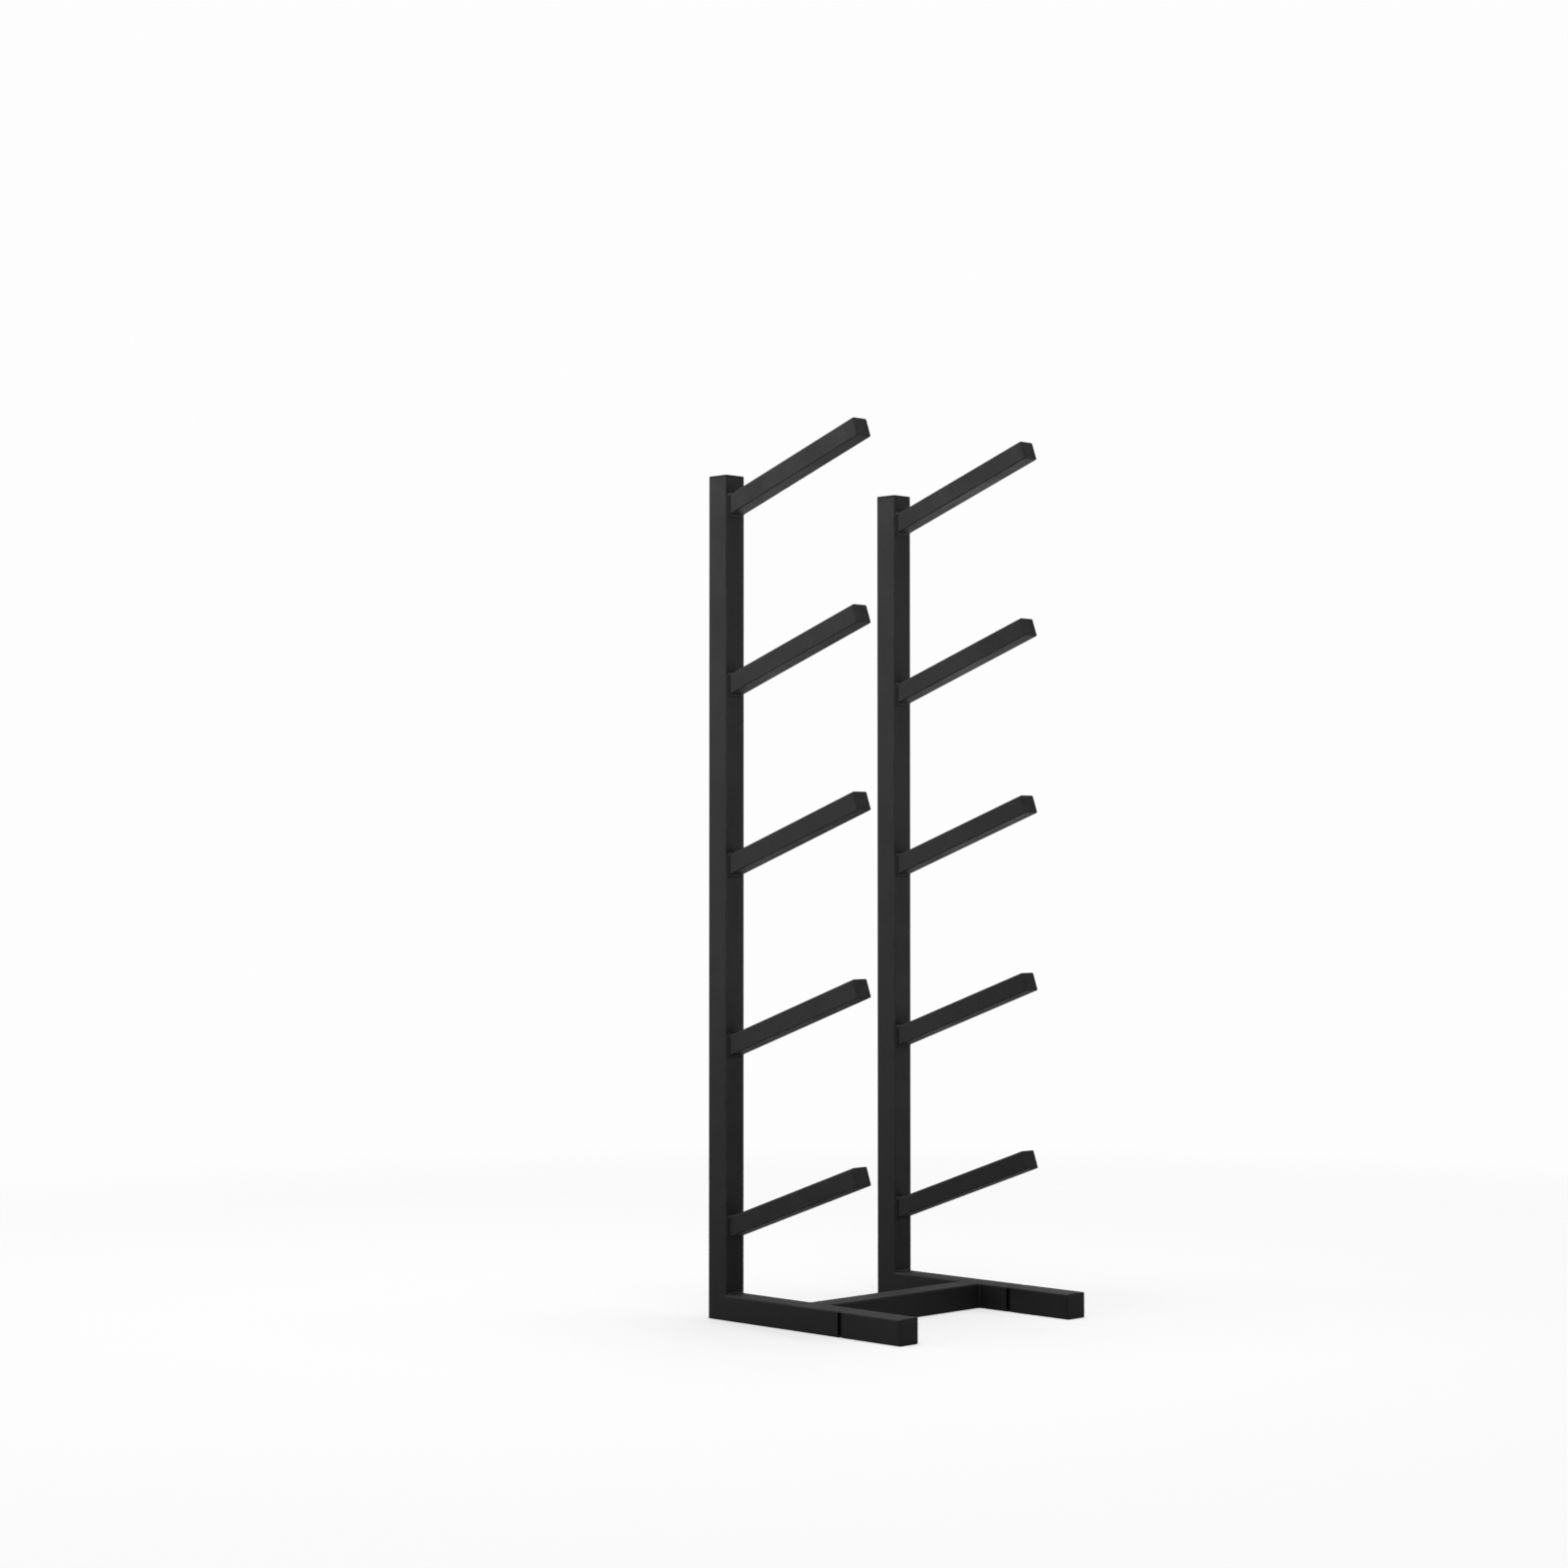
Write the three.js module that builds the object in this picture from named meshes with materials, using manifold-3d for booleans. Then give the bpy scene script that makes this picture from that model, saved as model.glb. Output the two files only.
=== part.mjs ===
// Floor-standing rack for skis and boards: two side frames of square steel tube, each with five
// tilted arms, joined by one crossbar. Millimetres, +Z up, arms point along -Y.
// The origin is on the floor, under the middle of the feet.

import * as THREE from 'three';
import * as BufferGeometryUtils from 'three/addons/utils/BufferGeometryUtils.js';
import Module from 'manifold-3d';

const wasm = await Module();
wasm.setup();

// Rack
const rackWidth = 426;            // outer face to outer face of the side frames
const uprightHeight = 1325;       // floor to the top of the upright's cap
const heelLength = 287.5;         // back of the upright to the middle of the joint in the foot
const toeLength = 123.5;          // middle of the joint to the front of the foot's cap
const crossbarFromJoint = 81.5;   // middle of the joint back to the middle of the crossbar

// Square tube of the uprights, feet and crossbar
const frameSide = 40;
const frameWall = 2;
const frameCorner = 2.5;          // outer radius of the tube's edges

// Arms
const levelCount = 5;
const lowestArmHeight = 129;      // floor to the underside of the lowest arm, at its root
const highestArmDrop = 64;        // top of the upright's cap to the underside of the highest arm
const armLength = 298;            // along the underside, from the upright to the cap's face
const armTiltDegrees = 19.5;      // above level
const armSide = 30;
const armWall = 2;
const armCorner = 2.5;

// Plug caps in the open tube ends
const capFlange = 3;              // thickness outside the tube
const capRimRadius = 1.2;         // rounding of the flange's rim
const capShell = 2;               // wall of the hollow plug
const capReach = 16;              // depth of the plug in the tube
const capFinCount = 2;
const capFinThickness = 1.2;
const capFinSlope = 2.4;          // height of a fin's sloping side
const capFinDepth = 2.2;          // fin's reach beyond the core

// Joint between the two lengths of each foot
const jointGap = 9;               // open gap between the two tubes
const joinerLength = 120;
const joinerCore = 20;            // side of the bar that crosses the gap
const joinerBore = 12;
const joinerBlockStart = 12;      // middle of the joint to the block that a screw holds
const joinerBlockLength = 32;
const joinerEndBlockLength = 8;

// Countersunk screws from below
const screwThread = 5;
const screwHead = 10;
const screwHeadRim = 0.4;         // straight rim above the cone
const screwLength = 9;
const screwFromJoint = 30;
const screwSink = 0.3;            // head's depth below the tube's face
const socketWidth = 3;            // corner to corner of the hexagon socket
const socketDepth = 1.8;

// Fillet welds
const weldLeg = 3;                // height of a bead on each of the faces it joins

// Fits
const seatGap = 0.3;              // between pieces that bear on each other
const cutOverrun = 5;             // how far a cutter passes the faces it cuts
const leastCorner = 0.4;          // smallest radius inside a tube or on a plug

// Fineness of round forms
const cornerSteps = 2;            // half the facets in a tube's edge
const plugSteps = 1;              // half the facets in an edge of a plug
const turnSteps = 20;             // facets round a screw
const weldSteps = 3;              // facets across a weld bead
const weldBulgeShare = 0.72;      // control point of a bead's curve, as a share of its leg

// Places that follow from the sizes above
const footLength = heelLength + toeLength;
const backY = footLength / 2;
const uprightFrontY = backY - frameSide;
const jointY = backY - heelLength;
const crossbarY = jointY + crossbarFromJoint;
const sideFrameX = (rackWidth - frameSide) / 2;
const crossbarLength = rackWidth - 2 * frameSide - 2 * seatGap;
const frameBore = frameSide - 2 * frameWall;
const joinerSide = frameBore - 2 * seatGap;
const joinerCorner = Math.max(frameCorner - frameWall - seatGap, leastCorner);
const levelPitch = (uprightHeight - highestArmDrop - lowestArmHeight) / (levelCount - 1);
const tilt = THREE.MathUtils.degToRad(armTiltDegrees);
const armHalf = armSide / 2;
const armAxisRise = armHalf / Math.cos(tilt);
const armRootSlope = Math.tan(tilt);
const armTipAt = armLength - armHalf * armRootSlope;
const screwConeDepth = (screwHead - screwThread) / 2;

const sides = [
  { name: 'left', sign: -1 },
  { name: 'right', sign: 1 },
];

// Finishes
const powderCoat = { color: 0x2a2b2d, roughness: 0.55, metalness: 0.1 };
const blackPlastic = { color: 0x1c1c1d, roughness: 0.6, metalness: 0 };
const blackenedScrew = { color: 0x202124, roughness: 0.45, metalness: 0.8 };

function piece(name, geometry, finish) {
  const mesh = new THREE.Mesh(geometry, new THREE.MeshStandardMaterial(finish));
  mesh.name = name;
  return mesh;
}

// Booleans

function toSolid(geometry) {
  const bare = geometry.clone();
  bare.deleteAttribute('normal');
  bare.deleteAttribute('uv');
  const merged = BufferGeometryUtils.mergeVertices(bare);
  const triVerts = Uint32Array.from(withoutSlivers(merged.index.array));
  const vertProperties = Float32Array.from(merged.attributes.position.array);
  return new wasm.Manifold(new wasm.Mesh({ numProp: 3, vertProperties, triVerts }));
}

// Triangles whose corners fell together at an axis are left out
function withoutSlivers(index) {
  const kept = [];
  for (let at = 0; at < index.length; at += 3) {
    const [a, b, c] = index.slice(at, at + 3);
    if (a !== b && b !== c && c !== a) kept.push(a, b, c);
  }
  return kept;
}

function toGeometry(solid) {
  const mesh = solid.getMesh();
  const geometry = new THREE.BufferGeometry();
  geometry.setAttribute('position', new THREE.BufferAttribute(mesh.vertProperties, 3));
  geometry.setIndex(new THREE.BufferAttribute(mesh.triVerts, 1));
  geometry.computeVertexNormals();
  return geometry;
}

function cutAway(geometry, cutters) {
  return toGeometry(cutters.reduce((rest, cutter) => rest.subtract(toSolid(cutter)), toSolid(geometry)));
}

function joinUp(geometries) {
  const [first, ...others] = geometries.map(toSolid);
  return toGeometry(others.reduce((sum, other) => sum.add(other), first));
}

// Square tube

function roundedSquare(side, corner) {
  const reach = side / 2 - corner;
  const shape = new THREE.Shape();
  shape.absarc(reach, reach, corner, 0, Math.PI / 2);
  shape.absarc(-reach, reach, corner, Math.PI / 2, Math.PI);
  shape.absarc(-reach, -reach, corner, Math.PI, 1.5 * Math.PI);
  shape.absarc(reach, -reach, corner, 1.5 * Math.PI, 2 * Math.PI);
  shape.closePath();
  return shape;
}

function boreOf(side, wall, corner) {
  return roundedSquare(side - 2 * wall, Math.max(corner - wall, leastCorner));
}

function extruded(shape, from, to, steps = cornerSteps) {
  const options = { depth: to - from, bevelEnabled: false, curveSegments: steps };
  return new THREE.ExtrudeGeometry(shape, options).translate(0, 0, from);
}

// Tube along +Z from one height to another, centred on the axis
function squareTube(side, wall, corner, from, to) {
  const outline = roundedSquare(side, corner);
  outline.holes.push(boreOf(side, wall, corner));
  return extruded(outline, from, to);
}

// Saw that removes all below a plane through a point of the Z axis. The plane rises with Y by slope
function sawBelow(height, slope, side) {
  const reach = 2 * side + cutOverrun;
  const block = new THREE.BoxGeometry(reach, reach, reach).translate(0, 0, -reach / 2);
  return block.rotateX(Math.atan(slope)).translate(0, 0, height);
}

// Plug cap: a flange as wide as the tube and a hollow finned plug. Z = 0 is the tube's end, +Z outwards

function plugCap(side, wall, corner) {
  const finSide = side - 2 * wall - 2 * seatGap;
  const finCorner = Math.max(corner - wall - seatGap, leastCorner);
  const coreSide = finSide - 2 * capFinDepth;
  const coreCorner = Math.max(finCorner - capFinDepth, leastCorner);
  const core = roundedSquare(coreSide, coreCorner);
  core.holes.push(boreOf(coreSide, capShell, coreCorner));
  const finPitch = capReach / (capFinCount + 1);
  const parts = [capFlangeSolid(side, corner), extruded(core, -capReach, capFlange / 2, plugSteps)];
  for (let number = 1; number <= capFinCount; number += 1) {
    const top = -number * finPitch + capFinThickness / 2;
    parts.push(capFin(coreSide - capShell, coreCorner, finSide, finCorner, top));
  }
  return joinUp(parts);
}

function capFlangeSolid(side, corner) {
  const rings = [[0, seatGap]];
  for (let step = 0; step <= cornerSteps; step += 1) {
    const angle = (step / cornerSteps) * (Math.PI / 2);
    const inset = capRimRadius * (1 - Math.cos(angle));
    rings.push([inset, capFlange - capRimRadius + capRimRadius * Math.sin(angle)]);
  }
  return skin(rings.map(([inset, height]) => squareRing(side - 2 * inset, corner - inset, height)), false);
}

// Fin that slopes out from the core and is sharp at its edge, so that the plug slides in and then holds
function capFin(rootSide, rootCorner, finSide, finCorner, top) {
  return skin([
    squareRing(rootSide, rootCorner, top - capFinSlope - capFinThickness, plugSteps),
    squareRing(finSide, finCorner, top - capFinThickness, plugSteps),
    squareRing(rootSide, rootCorner, top, plugSteps),
  ], true);
}

// Lofts

function squareRing(side, corner, height, steps = cornerSteps) {
  const outline = roundedSquare(side, Math.max(corner, leastCorner));
  const points = outline.getPoints(steps).slice(0, -1);
  return points.map((point) => new THREE.Vector3(point.x, point.y, height));
}

// Skin over rings of equal count. Closed, the last ring joins the first, otherwise both ends get a face
function skin(rings, closed) {
  const count = rings[0].length;
  const corners = rings.flat();
  const index = [];
  const rows = closed ? rings.length : rings.length - 1;
  for (let row = 0; row < rows; row += 1) {
    const base = row * count;
    const next = ((row + 1) % rings.length) * count;
    for (let at = 0; at < count; at += 1) {
      const after = (at + 1) % count;
      index.push(base + at, base + after, next + after, base + at, next + after, next + at);
    }
  }
  if (!closed) {
    closeEnd(corners, index, 0, count, false);
    closeEnd(corners, index, (rings.length - 1) * count, count, true);
  }
  const geometry = new THREE.BufferGeometry().setFromPoints(corners);
  geometry.setIndex(index);
  geometry.computeVertexNormals();
  return geometry;
}

function closeEnd(corners, index, base, count, facesUp) {
  const middle = new THREE.Vector3();
  for (let at = 0; at < count; at += 1) middle.add(corners[base + at]);
  corners.push(middle.divideScalar(count));
  const hub = corners.length - 1;
  for (let at = 0; at < count; at += 1) {
    const here = base + at;
    const after = base + ((at + 1) % count);
    index.push(hub, facesUp ? here : after, facesUp ? after : here);
  }
}

// Weld beads

// Section of a bead in the corner of the X and Y axes: its root, then its curved outer face
function beadSection() {
  const bulge = weldLeg * weldBulgeShare;
  const start = new THREE.Vector2(weldLeg, seatGap);
  const end = new THREE.Vector2(seatGap, weldLeg);
  const face = new THREE.QuadraticBezierCurve(start, new THREE.Vector2(bulge, bulge), end);
  return [new THREE.Vector2(seatGap, seatGap), ...face.getPoints(weldSteps)];
}

// Bead all round the end of a square tube that meets a face. X and Y lie in the face, Z is the distance
// from it, and the tube leaves it upwards by slope
function beadRing(side, corner, slope) {
  const stretch = Math.sqrt(1 + slope * slope);
  const rings = beadSection().map((point) => {
    const ring = squareRing(side + 2 * point.x, corner + point.x, point.y);
    return ring.map((place) => place.setY(place.y * stretch + point.y * slope));
  });
  return skin(rings, true);
}

// Screws

// Countersunk screw along +Z with its head's face at Z = 0. A grown one cuts the hole for it
function screwBody(grow, length) {
  const headRadius = screwHead / 2 + grow;
  const threadRadius = screwThread / 2 + grow;
  const start = grow > 0 ? -cutOverrun : 0;
  const profile = [
    new THREE.Vector2(0, start),
    new THREE.Vector2(headRadius, start),
    new THREE.Vector2(headRadius, screwHeadRim),
    new THREE.Vector2(threadRadius, screwHeadRim + screwConeDepth),
    new THREE.Vector2(threadRadius, length),
    new THREE.Vector2(0, length),
  ];
  return new THREE.LatheGeometry(profile, turnSteps).rotateX(Math.PI / 2);
}

function countersunkScrew() {
  const socket = new THREE.CylinderGeometry(socketWidth / 2, socketWidth / 2, 2 * socketDepth, 6);
  return cutAway(screwBody(0, screwLength), [socket.rotateX(Math.PI / 2)]);
}

// Hole for a screw, through the lower wall of a tube that lies along +Z with its top side along +Y
function screwHole(at) {
  const hole = screwBody(seatGap, screwLength + seatGap);
  return hole.rotateX(-Math.PI / 2).translate(0, -frameSide / 2 + screwSink, at);
}

// Side frames

function upright(side) {
  const top = uprightHeight - capFlange;
  const tube = squareTube(frameSide, frameWall, frameCorner, -cutOverrun, top);
  const mitre = sawBelow(frameSide / 2 + seatGap / Math.SQRT2, -1, frameSide);
  const mesh = piece(`upright_${side.name}`, cutAway(tube, [mitre]), powderCoat);
  mesh.position.set(0, backY - frameSide / 2, 0);
  return mesh;
}

function uprightCap(side) {
  const mesh = piece(`upright_cap_${side.name}`, plugCap(frameSide, frameWall, frameCorner), blackPlastic);
  mesh.position.set(0, backY - frameSide / 2, uprightHeight - capFlange);
  return mesh;
}

// The foot's pieces lie along +Z of their own frames, with their top sides along +Y
function laidForward(mesh, y) {
  mesh.rotation.x = Math.PI / 2;
  mesh.position.set(0, y, frameSide / 2);
  return mesh;
}

function foot(side) {
  const front = heelLength - jointGap / 2;
  const tube = squareTube(frameSide, frameWall, frameCorner, -cutOverrun, front);
  const mitre = sawBelow(frameSide / 2 + seatGap / Math.SQRT2, 1, frameSide);
  const geometry = cutAway(tube, [mitre, screwHole(heelLength - screwFromJoint)]);
  return laidForward(piece(`foot_${side.name}`, geometry, powderCoat), backY);
}

function footExtension(side) {
  const front = toeLength - capFlange;
  const tube = squareTube(frameSide, frameWall, frameCorner, jointGap / 2, front);
  const geometry = cutAway(tube, [screwHole(screwFromJoint)]);
  return laidForward(piece(`foot_extension_${side.name}`, geometry, powderCoat), jointY);
}

function footJoiner(side) {
  const end = joinerLength / 2;
  const blocks = [[joinerBlockStart, joinerBlockStart + joinerBlockLength], [end - joinerEndBlockLength, end]];
  const parts = [extruded(roundedSquare(joinerCore, leastCorner), -end, end, plugSteps)];
  for (const [near, far] of blocks) {
    const outline = roundedSquare(joinerSide, joinerCorner);
    parts.push(extruded(outline, near, far), extruded(outline, -far, -near));
  }
  const bore = extruded(roundedSquare(joinerBore, leastCorner), -joinerLength, joinerLength, plugSteps);
  const cutters = [bore, screwHole(-screwFromJoint), screwHole(screwFromJoint)];
  const mesh = piece(`foot_joiner_${side.name}`, cutAway(joinUp(parts), cutters), blackPlastic);
  return laidForward(mesh, jointY);
}

function footCap(side) {
  const cap = piece(`foot_cap_${side.name}`, plugCap(frameSide, frameWall, frameCorner), blackPlastic);
  return laidForward(cap, jointY - toeLength + capFlange);
}

// Arms

function armOnLevel(side, level) {
  const steel = squareTube(armSide, armWall, armCorner, -armSide, armTipAt - capFlange);
  const root = sawBelow(seatGap / Math.cos(tilt), armRootSlope, armSide);
  const arm = piece(`arm_${side.name}_${level}`, cutAway(steel, [root]), powderCoat);
  const cap = piece(`arm_cap_${side.name}_${level}`, plugCap(armSide, armWall, armCorner), blackPlastic);
  cap.position.z = armTipAt - capFlange;
  const group = new THREE.Group();
  group.add(arm, cap);
  group.rotation.x = Math.PI / 2 - tilt;
  group.position.set(0, uprightFrontY, armAxisHeight(level));
  return group;
}

function armAxisHeight(level) {
  return lowestArmHeight + (level - 1) * levelPitch + armAxisRise;
}

function armWeld(side, level) {
  const bead = beadRing(armSide, armCorner, armRootSlope);
  const mesh = piece(`arm_weld_${side.name}_${level}`, bead, powderCoat);
  mesh.rotation.x = Math.PI / 2;
  mesh.position.set(0, uprightFrontY, armAxisHeight(level));
  return mesh;
}

// Base

function crossbar() {
  const half = crossbarLength / 2;
  const tube = squareTube(frameSide, frameWall, frameCorner, -half, half);
  const mesh = piece('crossbar', tube, powderCoat);
  mesh.rotation.y = Math.PI / 2;
  mesh.position.set(0, crossbarY, frameSide / 2);
  return mesh;
}

// Weld between the crossbar and a foot: a bead up the front and back, and a fill in the grooves above
// and below, ground flush with the tubes. The foot's inner face is at Z = 0 and the crossbar along +Z
function crossbarWeld(side) {
  const reach = frameSide + 2 * weldLeg;
  const fill = new THREE.BoxGeometry(frameSide, reach, frameCorner + weldLeg);
  const grown = roundedSquare(frameSide + 2 * seatGap, frameCorner + seatGap);
  const bar = extruded(grown, 0, reach);
  const footTube = extruded(grown, -reach, reach).rotateX(Math.PI / 2).translate(0, 0, -frameSide / 2);
  const flush = new THREE.BoxGeometry(frameSide, 2 * reach, 2 * reach);
  const whole = toSolid(beadRing(frameSide, frameCorner, 0)).add(toSolid(fill));
  const rest = whole.subtract(toSolid(bar)).subtract(toSolid(footTube)).intersect(toSolid(flush));
  const mesh = piece(`crossbar_weld_${side.name}`, toGeometry(rest), powderCoat);
  mesh.rotation.y = -side.sign * (Math.PI / 2);
  mesh.position.set(side.sign * (rackWidth / 2 - frameSide), crossbarY, frameSide / 2);
  return mesh;
}

// Bead across the inner corner of the upright and its foot
function cornerWeld(side) {
  const half = frameSide / 2 - frameCorner;
  const bead = extruded(new THREE.Shape(beadSection()), -half, half);
  const mesh = piece(`corner_weld_${side.name}`, bead.rotateY(Math.PI / 2).rotateX(Math.PI), powderCoat);
  mesh.position.set(0, uprightFrontY, frameSide);
  return mesh;
}

function footScrew(side, place, offset) {
  const mesh = piece(`foot_screw_${side.name}_${place}`, countersunkScrew(), blackenedScrew);
  mesh.position.set(0, jointY + offset, screwSink);
  return mesh;
}

// Assembly

const rack = new THREE.Group();

for (const side of sides) {
  const frame = new THREE.Group();
  frame.position.x = side.sign * sideFrameX;
  frame.add(upright(side), uprightCap(side), cornerWeld(side));
  frame.add(foot(side), footJoiner(side), footExtension(side), footCap(side));
  frame.add(footScrew(side, 'back', screwFromJoint), footScrew(side, 'front', -screwFromJoint));
  for (let level = 1; level <= levelCount; level += 1) {
    frame.add(armOnLevel(side, level), armWeld(side, level));
  }
  rack.add(frame, crossbarWeld(side));
}
rack.add(crossbar());

export default rack;
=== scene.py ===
"""Looks of a floor-standing rack with five pairs of tilted arms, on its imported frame. Metres."""

import math
from contextlib import contextmanager

import bmesh
import bpy
from mathutils import Matrix, Vector


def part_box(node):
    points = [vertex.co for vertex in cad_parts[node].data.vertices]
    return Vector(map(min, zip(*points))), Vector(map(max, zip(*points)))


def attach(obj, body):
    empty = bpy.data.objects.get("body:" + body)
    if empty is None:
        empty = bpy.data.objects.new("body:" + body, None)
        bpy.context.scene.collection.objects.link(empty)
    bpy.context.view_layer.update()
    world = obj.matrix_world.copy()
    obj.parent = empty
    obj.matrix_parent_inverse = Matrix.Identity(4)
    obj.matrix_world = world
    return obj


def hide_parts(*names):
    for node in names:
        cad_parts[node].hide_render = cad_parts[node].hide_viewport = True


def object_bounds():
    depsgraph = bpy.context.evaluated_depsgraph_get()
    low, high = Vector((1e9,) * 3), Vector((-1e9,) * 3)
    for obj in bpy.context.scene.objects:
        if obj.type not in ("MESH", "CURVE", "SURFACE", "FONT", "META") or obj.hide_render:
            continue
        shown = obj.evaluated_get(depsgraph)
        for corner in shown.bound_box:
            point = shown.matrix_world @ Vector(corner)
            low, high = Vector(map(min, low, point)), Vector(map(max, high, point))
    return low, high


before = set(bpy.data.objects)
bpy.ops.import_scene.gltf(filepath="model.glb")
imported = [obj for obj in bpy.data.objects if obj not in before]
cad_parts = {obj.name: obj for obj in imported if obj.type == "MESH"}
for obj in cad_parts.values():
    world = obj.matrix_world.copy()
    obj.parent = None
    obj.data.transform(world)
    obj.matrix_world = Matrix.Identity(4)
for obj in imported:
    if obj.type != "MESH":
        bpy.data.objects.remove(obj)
cad_low, cad_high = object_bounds()

# Names in the frame
BODY = "root"
LEVELS = range(1, 6)
WORN_EDGE = "worn_edge"      # attribute of the tubes' points

# Tube stock
FRAME_WALL = 0.002
FRAME_CORNER = 0.0025        # outer radius of the tube's long edges
ARM_WALL = 0.002
ARM_CORNER = 0.0025
SHARP = math.radians(40)     # faces that meet at more than this keep a sharp edge between them
FACE_WEIGHT = 80             # how far the flat faces rule the shading of rounded edges beside them
SPARE_LENGTH = 0.06          # stock left on a length before it is sawn
EDGE_BAND = 0.0016           # strip of a flat face beside its rounded edge, where wear fades out
END_BREAK = 0.0004           # broken outer edge of a sawn end
JOINT_BREAK = 0.0006         # broken outer edge at the joint in the foot

# Arms
TILT = math.radians(19.5)    # above level

# Facets
EDGE_SEGMENTS = 8            # across a rounded long edge of a tube or cap
RIM_SEGMENTS = 5             # across the rim of a cap
BREAK_SEGMENTS = 3           # across the broken edge of a sawn end
SMALL_SEGMENTS = 2           # across the smallest edges
PATH_SEGMENTS = 12           # round a corner of a bead's path
BEAD_FACETS = 32             # round a bead
TURNED_FACETS = 48           # round a screw
GATE_FACETS = 96             # round the ball of a gate mark
FLOOR_FACETS = 96

# Tests
ALIGNED = 0.999              # cosine at which two directions count as the same
ON_PLANE = 0.000001
SAW_THRESHOLD = 0.0000001
SAME_POINT = 0.00001

# Fits
SEAT_GAP = 0.0003            # between pieces that bear on each other
FUSED = 0.0002               # how far weld metal runs into the steel
FLUSH = 0.00003              # a dressed weld lies this much below the faces beside it
RUN_IN = 0.0008              # how far dressed weld metal runs on inside the tubes
BEAD_SINK = 0.00006          # a bead that ends beside dressed metal lies this much below the faces

# Joiner in the foot, from its middle
JOINER_CORNER = 0.0008
JOINER_CORE = 0.020          # side of the bar that crosses the gap
JOINER_BORE = 0.012
JOINER_BLOCK = (0.012, 0.044)    # block that a screw holds
JOINER_END_BLOCK = 0.052     # where the block at the end starts
JOINER_SLOPE = 0.0006        # length of a sloping shoulder
JOINER_EDGE = 0.0003
COLLAR_SINK = 0.0003         # depth of the collar below the tubes' faces
COLLAR_FLANGE = 0.0025       # collar that is left above and below the pockets in its sides
COLLAR_POCKET = 0.004        # depth of those pockets

# Plug caps
FLANGE = 0.003
FLANGE_CROWN = 0.0002        # rise of the face's middle over its rim
CROWN_RISES = (0.5, 0.3, 0.15, 0.05)    # share of it in each ring, from the rim in
CROWN_RING = 0.72            # width of a ring against the one outside it
RIM_RADIUS = 0.0012
PLUG_REACH = 0.016
PLUG_SHELL = 0.002
PLUG_FLOOR = 0.002
PLUG_DRAFT = 0.98            # narrowing of the hollow towards its floor
FIN_COUNT = 4
FIN_DEPTH = 0.0022
FIN_TIP = 0.0006
FIN_SLOPE = 0.0014
GATE_RADIUS = 0.0016
GATE_DEPTH = 0.00025

# Welds
WELD_LEG = 0.003
WELD_RIPPLE = 0.0021         # from one ripple to the next
WELD_RIPPLE_SHARE = 0.13     # height of a ripple, as a share of the leg
WELD_STEP = 0.0004           # spacing of the rings along a bead
WELD_TIP = 0.06              # share of the leg that is left at a bead's very end
MITRE_WELD_WIDTH = 0.003
MITRE_WELD_EDGE = 0.00015    # broken edges of the dressed weld

# Countersunk screws
SCREW_HEAD_RADIUS = 0.005
SCREW_THREAD_RADIUS = 0.0025
SCREW_RIM = 0.0004
SCREW_LENGTH = 0.009
SOCKET_SIDES = 6
SOCKET_RADIUS = 0.0015
SOCKET_DEPTH = 0.0018
SCREW_EDGE = 0.00012         # broken edges
SCREW_EDGE_ANGLE = math.radians(50)     # only edges sharper than this are broken

# Node trees
NODE_SPACING = 200
MIX_COLOURS = (6, 7)         # a mix node's colour sockets, which share their names with others
MIX_RESULT = 2
NOISE_DETAIL = 2.0
NOISE_ROUGHNESS = 0.5

# Powder coat
COAT_DARK = (0.0138, 0.0141, 0.0146, 1)
COAT_LIGHT = (0.0212, 0.0215, 0.0221, 1)
COAT_THIN = (0.0400, 0.0402, 0.0410, 1)
COAT_ROUGHNESS = (0.38, 0.56)
COAT_SPECULAR = 0.4
DRIFT_SPREAD = (0.35, 0.65)  # noise that reaches from one tone to the other
DRIFT_DETAIL = 3.0
COAT_CLOUD = 0.30            # width of the slow changes in tone
COAT_MOTTLE = 0.006          # width of the small ones
COAT_MOTTLE_SHARE = 0.35
COAT_SMEAR = 0.05            # width of the changes in sheen that handling leaves
COAT_PEEL = 0.0015           # width of an orange-peel dimple
COAT_FINE_PEEL = 0.0005      # width of the smaller ones on it
COAT_FINE_SHARE = 0.35       # and their depth against it
COAT_RELIEF = 0.00013        # depth of the orange peel
EDGE_STRETCH = 0.02          # length of a thin stretch of an edge
EDGE_SPREAD = (0.38, 0.62)
EDGE_DETAIL = 4.0
EDGE_LEAST = 0.35            # thinning between the stretches, against that on them
EDGE_THINNING = 0.55
EDGE_SHEEN = 0.06            # how much smoother a rubbed edge is
DUST = (0.30, 0.29, 0.27, 1)
DUST_PATCH = 0.04
DUST_SPREAD = (0.3, 0.7)
DUST_DETAIL = 5.0
DUST_ROUGHNESS = 0.65
DUST_LEAST = 0.3             # dust between the patches, against that on them
DUST_COVER = 0.08
DUST_DULLING = 0.12
FACING_UP = (0.55, 0.98)     # rise of a face's normal, from no dust to all of it

# Plastic of the caps and joiners
PLASTIC_DARK = (0.0120, 0.0120, 0.0123, 1)
PLASTIC_LIGHT = (0.0180, 0.0180, 0.0183, 1)
PLASTIC_ROUGHNESS = (0.44, 0.56)
PLASTIC_SPECULAR = 0.4
PLASTIC_CLOUD = 0.015
PLASTIC_GRAIN = 0.0005
PLASTIC_RELIEF = 0.00008
PLASTIC_DUST = 0.1

# Steel of the screws
BLACKING_DARK = (0.020, 0.020, 0.022, 1)
BLACKING_LIGHT = (0.055, 0.053, 0.052, 1)
BLACKING_ROUGHNESS = (0.32, 0.48)
BLACKING_PATCH = 0.004
BLACKING_GRAIN = 0.0003
BLACKING_RELIEF = 0.00001

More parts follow.
